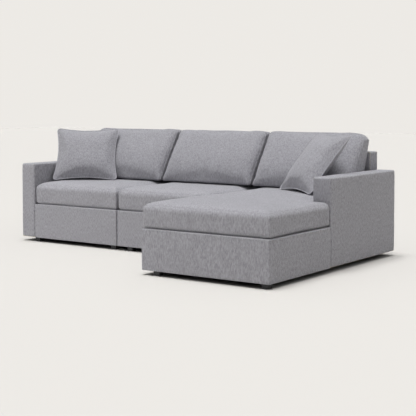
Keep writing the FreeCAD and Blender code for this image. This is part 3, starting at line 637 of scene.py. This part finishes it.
for number, module in enumerate(("left", "middle", "chaise")):
    baseCover(module, upholstery["baseSeed"] + number)
    boxCover(module, "back", upholstery["backSeed"] + number)
for number, module in enumerate(("left", "chaise")):
    boxCover(module, "arm", upholstery["armSeed"] + number)
print("arms, backs and bases upholstered")

# Cushions and pillows, filled with air by the cloth simulation

inflation = {"frames": 20, "quality": 5, "mass": 0.3, "shearShare": 1 / 3}
simulated = []


# Cloth under air pressure, gravity off, for all waiting pieces at once
def inflateAll():
    for piece, settings in simulated:
        modifier = piece.modifiers.new("cloth", "CLOTH")
        sheet = modifier.settings
        sheet.quality = inflation["quality"]
        sheet.mass = inflation["mass"]
        sheet.tension_stiffness = sheet.compression_stiffness = settings["stiffness"]
        sheet.shear_stiffness = settings["stiffness"] * inflation["shearShare"]
        sheet.bending_stiffness = settings["bending"]
        sheet.use_pressure = True
        sheet.uniform_pressure_force = settings["pressure"]
        sheet.effector_weights.gravity = 0
        modifier.collision_settings.use_collision = False
        modifier.collision_settings.use_self_collision = False
        modifier.point_cache.frame_start = 1
        modifier.point_cache.frame_end = inflation["frames"]
    for number in range(1, inflation["frames"] + 1):
        scene.frame_set(number)
    depsgraph = bpy.context.evaluated_depsgraph_get()
    moved = [getPoints(piece.evaluated_get(depsgraph).data) for piece, settings in simulated]
    for (piece, settings), points in zip(simulated, moved):
        piece.modifiers.clear()
        rest = getPoints(piece.data)
        shift = points - rest
        length = np.linalg.norm(shift, axis=1)
        print("  ", piece.name, "moved up to %.1f mm" % (length.max() * 1000))
        keep = np.minimum(1, settings["cap"] / np.maximum(length, tiny))
        setPoints(piece.data, rest + shift * keep[:, None])
    scene.frame_set(1)


# Small gathers along a seam: each has its own place, width and depth
def gathers(along, seed, pitch, length):
    draw = np.random.RandomState(seed)
    total = np.zeros(len(along))
    place = draw.uniform(0, pitch)
    while place < length:
        width = pitch * draw.uniform(0.16, 0.34)
        total += draw.uniform(0.25, 1.0) * np.exp(-((along - place) / width) ** 2)
        place += pitch * draw.uniform(0.6, 1.7)
    return total


seats = {
    "spacing": 0.021,
    "edgeSteps": 5,
    "edge": 0.013,
    "topRoll": 0.046,         # the top rolls over to the sides
    "lowRoll": 0.028,
    "armGap": 0.0015,         # between the chaise's cushion and the arm's front
    "notchSlack": 0.0005,
    "crownFoot": 0.022,       # edge of the top below its middle
    "crown": 0.0215,
    "crownStart": 0.012,      # from the edge inwards
    "crownReach": 0.130,
    "crownBlend": 0.03,
    "fill": 0.9,
    "unevenness": 0.0011,
    "waveLength": 0.30,
    "waveSeed": 50,
    "seamDepth": 0.0022,
    "seamWidth": 0.0042,
    "seamBlend": 0.004,
    "puckerDepth": 0.0012,
    "puckerReach": 0.02,
    "puckerPitch": 0.055,
    "puckerTwist": 0.02,      # sets opposite sides' gathers apart
    "puckerSeed": 70,
    "stiffness": 25,
    "bending": 6.0,
    "pressure": 3.0,
    "cap": 0.010,             # the most that the air moves a point
}


def segmentGap(points, start, end):
    along = np.array(end) - np.array(start)
    share = np.clip(((points - start) @ along) / (along @ along), 0, 1)
    return np.linalg.norm(points - (start + share[:, None] * along), axis=1)


# Distance to the nearest wall of an outline, rounded off where two walls are equally near
def wallGap(points, outline, blend):
    total = np.zeros(len(points))
    for start, end in zip(outline, outline[1:] + outline[:1]):
        total += np.exp(-segmentGap(points[:, :2], start, end) / blend)
    return -blend * np.log(total)


# Edges above or below a wall rounded further; a wall is (axis, place, which way is inside)
def rollOver(points, wall, level, radius, way):
    axis, place, inwards = wall
    within, deep = (points[:, axis] - place) * inwards, (level - points[:, 2]) * way
    toSide, toLevel = radius - within, radius - deep
    reach = np.hypot(toSide, toLevel)
    scale = np.where((toSide > 0) & (toLevel > 0) & (reach > radius), radius / np.maximum(reach, tiny), 1)
    moved = points.copy()
    moved[:, axis] = np.where(scale < 1, place + inwards * (radius - toSide * scale), points[:, axis])
    moved[:, 2] = np.where(scale < 1, level - way * (radius - toLevel * scale), points[:, 2])
    return moved


def seatCushion(module, number):
    low, high = span(module + "_seat_cushion_cover")
    edge, roll = seats["edge"], seats["topRoll"]
    edgeTop = high[2] - seats["crownFoot"]
    areas = [outlineArea(low, high)]
    outline = [(low[0], low[1]), (high[0], low[1]), (high[0], high[1]), (low[0], high[1])]
    walls = [(0, low[0], 1), (0, high[0], -1), (1, low[1], 1), (1, high[1], -1)]
    xs, ys, zs = boxLines(low, (high[0], high[1], edgeTop), roll, seats)
    if module == "chaise":
        seatEnd = span("chaise_back_cushion_cover")[1][0]
        notch = span("chaise_arm_cover")[0][1] - seats["armGap"]
        areas = [(low[0], seatEnd, low[1], high[1]), (low[0], high[0], low[1], notch)]
        outline[2:3] = [(high[0], notch), (seatEnd, notch), (seatEnd, high[1])]
        xs, ys = cornerLines(xs, seatEnd, edge, edge), cornerLines(ys, notch, edge, edge)
    sharp, faces, _ = latticeSkin((xs, ys, zs), areas)
    points = roundEdges(sharp, areas, low[2], edgeTop, edge)
    height = np.clip((points[:, 2] - low[2]) / (edgeTop - low[2]), 0, 1)
    for wall in walls:
        points = rollOver(points, wall, edgeTop, roll, 1)
        points = rollOver(points, wall, low[2], seats["lowRoll"], -1)
    gap = np.clip(wallGap(sharp, outline, seats["crownBlend"]) - seats["crownStart"], 0, None)
    points[:, 2] += seats["crown"] * (1 - np.exp(-gap / seats["crownReach"])) * height ** 2
    piece = newObject(module + "SeatCushion", points, faces, finishes["sofa_fabric"])
    setMarks(piece.data, sharp)
    simulated.append((piece, seats))
    return piece, (low, high, edgeTop, outline, number)


def finishSeat(piece, facts):
    low, high, edgeTop, outline, number = facts
    subdivide(piece)
    mesh = piece.data
    sharp, points, normals = getMarks(mesh), getPoints(mesh), pointNormals(mesh)
    x, y, z = sharp.T
    toWall = np.clip(wallGap(sharp, outline, seats["seamBlend"]), 0, None)
    topSeam = np.where(np.abs(z - edgeTop) < touching, toWall, edgeTop - z)
    lowSeam = np.where(np.abs(z - low[2]) < touching, toWall, z - low[2])
    around = np.arctan2(y - (low[1] + high[1]) / 2, x - (low[0] + high[0]) / 2)
    along = x + y + seats["puckerTwist"] * around
    along = along - along.min()
    pucker = gathers(along, seats["puckerSeed"] + number, seats["puckerPitch"], along.max())
    shift = unevenness(points, seats["waveSeed"] + number, seats["waveLength"], seats["unevenness"])
    for gap in (topSeam, lowSeam):
        shift -= seamDip(gap, seats)
        shift -= seats["puckerDepth"] * pucker * np.exp(-gap / seats["puckerReach"])
    points = np.clip(points + normals * shift[:, None], low, high)
    if len(outline) > 4:      # the inner corner stays clear of the arm
        seatEnd, notch = outline[3]
        behind = points[:, 1] > notch - seats["notchSlack"]
        points[behind, 0] = np.minimum(points[behind, 0], seatEnd)
    setPoints(mesh, points)


backs = {
    "spacing": 0.015,
    "edgeSteps": 5,
    "edge": 0.020,
    "setback": 0.530,         # from the seats' front to the foot of the cushion
    "top": 0.886,
    "rearEdge": 0.062,        # the top rolls over to the rear
    "footDepth": 0.212,
    "crestDepth": 0.092,
    "lean": math.tan(math.radians(19)),
    "crown": 0.046,
    "crownReach": 0.036,
    "crownShape": 0.85,       # below 1 the belly is fullest below the middle
    "crownRear": 0.25,        # the rear's share of the belly
    "topCrown": 0.010,
    "topReach": 0.12,
    "shoulder": 0.014,        # how far the top corners drop
    "shoulderReach": 0.03,
    "dropShape": 4,           # the drop grows with this power of the height
    "slump": 0.034,           # the free corner at the right sinks further
    "slumpReach": 0.050,
    "rearGap": 0.0012,        # between the cushion and the low back
    "rearRise": 0.004,        # how far above the low back that gap is kept
    "fill": 0.65,
    "unevenness": 0.0016,
    "waveLength": 0.24,
    "waveSeed": 60,
    "seamDepth": 0.0028,
    "seamWidth": 0.0045,
    "puckerDepth": 0.0036,
    "puckerReach": 0.028,
    "puckerPitch": 0.042,
    "puckerSeed": 80,
    "puckerEase": 0.004,      # at the seam itself a gather is half as deep
    "topPuckerShare": 0.35,
    "topPuckerReach": 0.03,
    "topPuckerPitch": 0.09,
    "topPuckerSeed": 90,
    "stiffness": 30,
    "bending": 8.0,
    "pressure": 4.0,
    "cap": 0.012,
}


# A block that stands at its foot's front corner, bent to a leaning, tapering, full cushion
def backPlace(points, start, width, tall, slump):
    x, y, z = points[:, 0], points[:, 1].copy(), points[:, 2].copy()
    turn, foot = backs["rearEdge"], backs["footDepth"]
    behind, above = y - (foot - turn), z - (tall - turn)
    corner = (behind > 0) & (above > 0)
    reach = np.hypot(behind, above)
    scale = np.where(corner & (reach > turn), turn / np.maximum(reach, tiny), 1)
    y = np.where(corner, y + behind * (scale - 1), y)
    z = np.where(corner, z + above * (scale - 1), z)
    share = z / tall
    height = np.clip(share, 0, 1)
    fromSide, fromRight = np.clip(np.minimum(x, width - x), 0, None), np.clip(width - x, 0, None)
    drop = backs["shoulder"] * np.exp(-fromSide / backs["shoulderReach"])
    drop = drop - backs["topCrown"] * inside(x, 0, width, backs["topReach"])
    drop = drop + slump * np.exp(-fromRight / backs["slumpReach"])
    zz = z - drop * height ** backs["dropShape"]
    depth = foot + (backs["crestDepth"] - foot) * share
    yy = foot + backs["lean"] * zz - depth * (1 - y / foot)
    belly = backs["crown"] * np.sin(math.pi * height ** backs["crownShape"])
    belly = belly * inside(x, 0, width, backs["crownReach"])
    front = 1 - np.clip(y / (foot * 0.5), 0, 2)
    yy = yy - belly * np.where(front > 0, front, front * backs["crownRear"])
    return np.stack([x, yy, zz], axis=1) + start


def backCushion(module, number):
    low, high = span(module + "_back_cushion_cover")
    seatFront = span("left_seat_cushion_cover")[0][1] - upholstery["clearance"]
    start = np.array((low[0], seatFront + backs["setback"], low[2]))
    width, tall = high[0] - low[0], backs["top"] - low[2]
    edge, size = backs["edge"], (width, backs["footDepth"], tall)
    area = [outlineArea((0, 0), size)]
    sharp, faces, _ = latticeSkin(boxLines((0, 0, 0), size, edge, backs), area)
    slump = backs["slump"] if module == "chaise" else 0.0
    points = backPlace(roundEdges(sharp, area, 0, tall, edge), start, width, tall, slump)
    piece = newObject(module + "BackCushion", points, faces, finishes["sofa_fabric"])
    setMarks(piece.data, sharp)
    spare(piece)
    simulated.append((piece, backs))
    return piece, (low, high, width, tall, number)


def finishBack(piece, facts):
    low, high, width, tall, number = facts
    subdivide(piece)
    mesh = piece.data
    sharp, points, normals = getMarks(mesh), getPoints(mesh), pointNormals(mesh)
    x, y, z = sharp.T
    fromSide = np.minimum(x, width - x)
    fromEnds = np.minimum(z, tall - z)
    shift = unevenness(points, backs["waveSeed"] + number, backs["waveLength"], backs["unevenness"])
    pucker = gathers(z, backs["puckerSeed"] + number, backs["puckerPitch"], tall)
    topPucker = gathers(x, backs["topPuckerSeed"] + number, backs["topPuckerPitch"], width)
    for face in (0.0, backs["footDepth"]):
        onFace = np.abs(y - face) < touching
        sideSeam = np.where(onFace, fromSide, np.abs(y - face))
        sideSeam = np.where(onFace | (fromSide < touching), sideSeam, 1.0)
        endSeam = np.where(onFace, fromEnds, np.abs(y - face))
        endSeam = np.where(onFace | (fromEnds < touching), endSeam, 1.0)
        shift -= seamDip(np.minimum(sideSeam, endSeam), backs)
        ease = 1 - np.exp(-(sideSeam / backs["puckerEase"]) ** 2) * 0.5
        shift -= backs["puckerDepth"] * pucker * np.exp(-sideSeam / backs["puckerReach"]) * ease
        topDepth = backs["puckerDepth"] * backs["topPuckerShare"]
        shift -= topDepth * topPucker * np.exp(-endSeam / backs["topPuckerReach"])
    points = points + normals * shift[:, None]
    points[:, 0] = np.clip(points[:, 0], low[0], high[0])
    points[:, 2] = np.maximum(points[:, 2], low[2])
    lowBackStart, lowBackEnd = span("left_back_cover")
    beside = points[:, 2] < lowBackEnd[2] + backs["rearRise"]
    points[beside, 1] = np.minimum(points[beside, 1], lowBackStart[1] - backs["rearGap"])
    setPoints(mesh, points)


pillows = {
    "side": 0.508,
    "thickness": 0.150,
    "cells": 56,
    "crowding": 0.35,         # how much closer the lines come together near the rim
    "bulgeFlat": 2.4,         # higher is flatter in the middle
    "bulgeEdge": 0.85,        # higher is thinner near the rim
    "limp": 0.94,             # share of the thickness before it is filled
    "corner": 0.034,
    "drawIn": 0.024,          # how far the middles of the sides are drawn in
    "drawShape": 1.5,
    "drawReach": 3,
    "piping": 0.0070,
    "pipingSunk": 0.0006,
    "pipingSides": 10,
    "fill": 0.7,
    "left": (36.0, 38.0),     # degrees turned and leaning
    "right": (-34.5, 38.0),
    "seeds": {"left": 41, "right": 47},
    "unevenness": 0.0016,
    "waveLength": 0.16,
    "waveStart": 0.02,
    "puckerDepth": 0.0022,
    "puckerPitch": 0.045,
    "puckerReach": 0.03,
    "puckerEase": 0.006,
    "stiffness": 25,
    "bending": 5.0,
    "pressure": 4.0,
    "cap": 0.009,
}


# A side's points drawn in, most in the side's middle and not at all at its corners
def drawSide(place, across, along):
    bow = pillows["drawIn"] / (pillows["side"] / 2)
    middle = (1 - along ** 2) ** pillows["drawShape"]
    return place * (1 - bow * middle * abs(across) ** pillows["drawReach"])


# Two square sheets joined round their rim, apart in the middle
def pillowSkin(name):
    cells, half = pillows["cells"], pillows["side"] / 2
    count = cells + 1
    line = np.linspace(-1, 1, count)
    line = np.sin(line * math.pi / 2) * pillows["crowding"] + line * (1 - pillows["crowding"])
    radius, flat = pillows["corner"] / half, pillows["bulgeFlat"]
    points, marks, faces, numbers = [], [], [], {}
    for side in (-1, 1):
        for i in range(count):
            for j in range(count):
                rim = i in (0, cells) or j in (0, cells)
                if rim and (0, i, j) in numbers:
                    numbers[side, i, j] = numbers[0, i, j]
                    continue
                u, v = line[i], line[j]
                inner = np.clip((u, v), -(1 - radius), 1 - radius)
                away = np.array((u, v)) - inner
                far = np.abs(away).max() / max(np.linalg.norm(away), tiny)
                place = inner + away * far if far < 1 else np.array((u, v))
                bulge = ((1 - abs(u) ** flat) * (1 - abs(v) ** flat)) ** pillows["bulgeEdge"]
                deep = side * pillows["thickness"] / 2 * bulge * pillows["limp"]
                numbers[side, i, j] = len(points)
                if rim:
                    numbers[0, i, j] = len(points)
                points.append((drawSide(place[0], u, v) * half, deep, drawSide(place[1], v, u) * half))
                marks.append((u, v, side))
    for side in (-1, 1):
        for i in range(cells):
            for j in range(cells):
                quad = [numbers[side, *key] for key in ((i, j), (i + 1, j), (i + 1, j + 1), (i, j + 1))]
                faces.append(quad if side < 0 else quad[::-1])
    rim = [(i, 0) for i in range(cells)] + [(cells, j) for j in range(cells)]
    rim += [(i, cells) for i in range(cells, 0, -1)] + [(0, j) for j in range(cells, 0, -1)]
    loop = [numbers[0, i, j] for i, j in rim]
    piece = newObject(name, points, faces, finishes["pillow_fabric"])
    setMarks(piece.data, marks)
    spare(piece)
    simulated.append((piece, pillows))
    return piece, loop


# A tube along a closed loop of points, by geometry nodes
def pipeAlong(name, loop, diameter, material):
    curve = bpy.data.curves.new(name + "Path", "CURVE")
    curve.dimensions = "3D"
    spline = curve.splines.new("POLY")
    spline.points.add(len(loop) - 1)
    for point, place in zip(spline.points, loop):
        point.co = (*place, 1)
    spline.use_cyclic_u = True
    holder = bpy.data.objects.new(name, curve)
    scene.collection.objects.link(holder)
    tree = bpy.data.node_groups.new(name + "Nodes", "GeometryNodeTree")
    tree.interface.new_socket("Geometry", in_out="INPUT", socket_type="NodeSocketGeometry")
    width = tree.interface.new_socket("Diameter", in_out="INPUT", socket_type="NodeSocketFloat")
    width.default_value = diameter
    tree.interface.new_socket("Geometry", in_out="OUTPUT", socket_type="NodeSocketGeometry")
    start, end = tree.nodes.new("NodeGroupInput"), tree.nodes.new("NodeGroupOutput")
    ring = addNode(tree, "GeometryNodeCurvePrimitiveCircle", Resolution=pillows["pipingSides"])
    halve = addNode(tree, "ShaderNodeMath", operation="DIVIDE")
    halve.inputs[1].default_value = 2
    smooth = addNode(tree, "GeometryNodeResampleCurve", Count=len(loop) * 2)
    tube = tree.nodes.new("GeometryNodeCurveToMesh")
    realize = tree.nodes.new("GeometryNodeRealizeInstances")
    paint = addNode(tree, "GeometryNodeSetMaterial", Material=material)
    link = tree.links.new
    link(start.outputs["Geometry"], smooth.inputs["Curve"])
    link(smooth.outputs["Curve"], tube.inputs["Curve"])
    link(start.outputs["Diameter"], halve.inputs[0])
    link(halve.outputs[0], ring.inputs["Radius"])
    link(ring.outputs["Curve"], tube.inputs["Profile Curve"])
    link(tube.outputs["Mesh"], realize.inputs["Geometry"])
    link(realize.outputs["Geometry"], paint.inputs["Geometry"])
    link(paint.outputs["Geometry"], end.inputs["Geometry"])
    modifier = holder.modifiers.new("nodes", "NODES")
    modifier.node_group = tree
    modifier[width.identifier] = diameter
    mesh = madeMesh(holder)
    bpy.data.objects.remove(holder)
    bpy.data.curves.remove(curve)
    piece = bpy.data.objects.new(name, mesh)
    scene.collection.objects.link(piece)
    mesh.shade_smooth()
    return piece


# Brings a filled pillow to size, gathers its rim, leans it in its place and pipes it
def finishPillow(piece, loop, side):
    rest = getPoints(piece.data)
    size = rest.max(0) - rest.min(0)
    want = np.array((pillows["side"], pillows["thickness"], pillows["side"]))
    setPoints(piece.data, rest * (want / size))
    subdivide(piece)
    mesh = piece.data
    marks, points, normals = getMarks(mesh), getPoints(mesh), pointNormals(mesh)
    half, seed = pillows["side"] / 2, pillows["seeds"][side]
    u, v = marks[:, 0], marks[:, 1]
    rimGap = (1 - np.maximum(np.abs(u), np.abs(v))) * half
    along = np.where(np.abs(u) > np.abs(v), v, u + 3) * half      # the other two sides come after the first
    start, length = 0.3, 1.4
    pucker = gathers(along + start, seed, pillows["puckerPitch"], length)
    shift = unevenness(points, seed, pillows["waveLength"], pillows["unevenness"])
    shift = shift * (1 - np.exp(-rimGap / pillows["waveStart"]))
    ease = 1 - np.exp(-rimGap / pillows["puckerEase"])
    shift = shift - pillows["puckerDepth"] * pucker * np.exp(-rimGap / pillows["puckerReach"]) * ease
    points = points + normals * shift[:, None]
    low, high = span(side + "_pillow_cover")
    turn, lean = (math.radians(angle) for angle in pillows[side])
    pose = Matrix.Translation(Vector((low + high) / 2))
    pose = np.array(pose @ Matrix.Rotation(turn, 4, "Z") @ Matrix.Rotation(-lean, 4, "X"))
    points = points @ pose[:3, :3].T + pose[:3, 3]
    standing = span(side + "_pillow_piping")[0][2] + pillows["piping"]
    points[:, 2] += standing - points[loop, 2].min()
    setPoints(mesh, points)
    rim, facing = points[loop], pose[:3, 1]
    away = rim - points.mean(0)
    away -= np.outer(away @ facing, facing)
    away /= np.linalg.norm(away, axis=1)[:, None]
    rim = rim + away * (pillows["piping"] / 2 - pillows["pipingSunk"])
    return pipeAlong(side + "PillowPiping", rim, pillows["piping"], finishes["piping_fabric"])


cushions = []
for number, module in enumerate(("left", "middle", "chaise")):
    cushions.append((finishSeat, *seatCushion(module, number), module + "_seat_cushion", "_foam", seats))
    cushions.append((finishBack, *backCushion(module, number), module + "_back_cushion", "_fill", backs))
pillowPieces = {side: pillowSkin(side + "Pillow") for side in ("left", "right")}
inflateAll()
for finish, piece, facts, body, inner, settings in cushions:
    finish(piece, facts)
    finishPiece(piece, body, [body + "_cover", body + inner])
for side, (piece, loop) in pillowPieces.items():
    body = side + "_pillow"
    piping = finishPillow(piece, loop, side)
    finishPiece(piece, body, [body + "_cover", body + "_insert"])
    finishPiece(piping, body, [body + "_piping"])
print("cushions and pillows sewn")
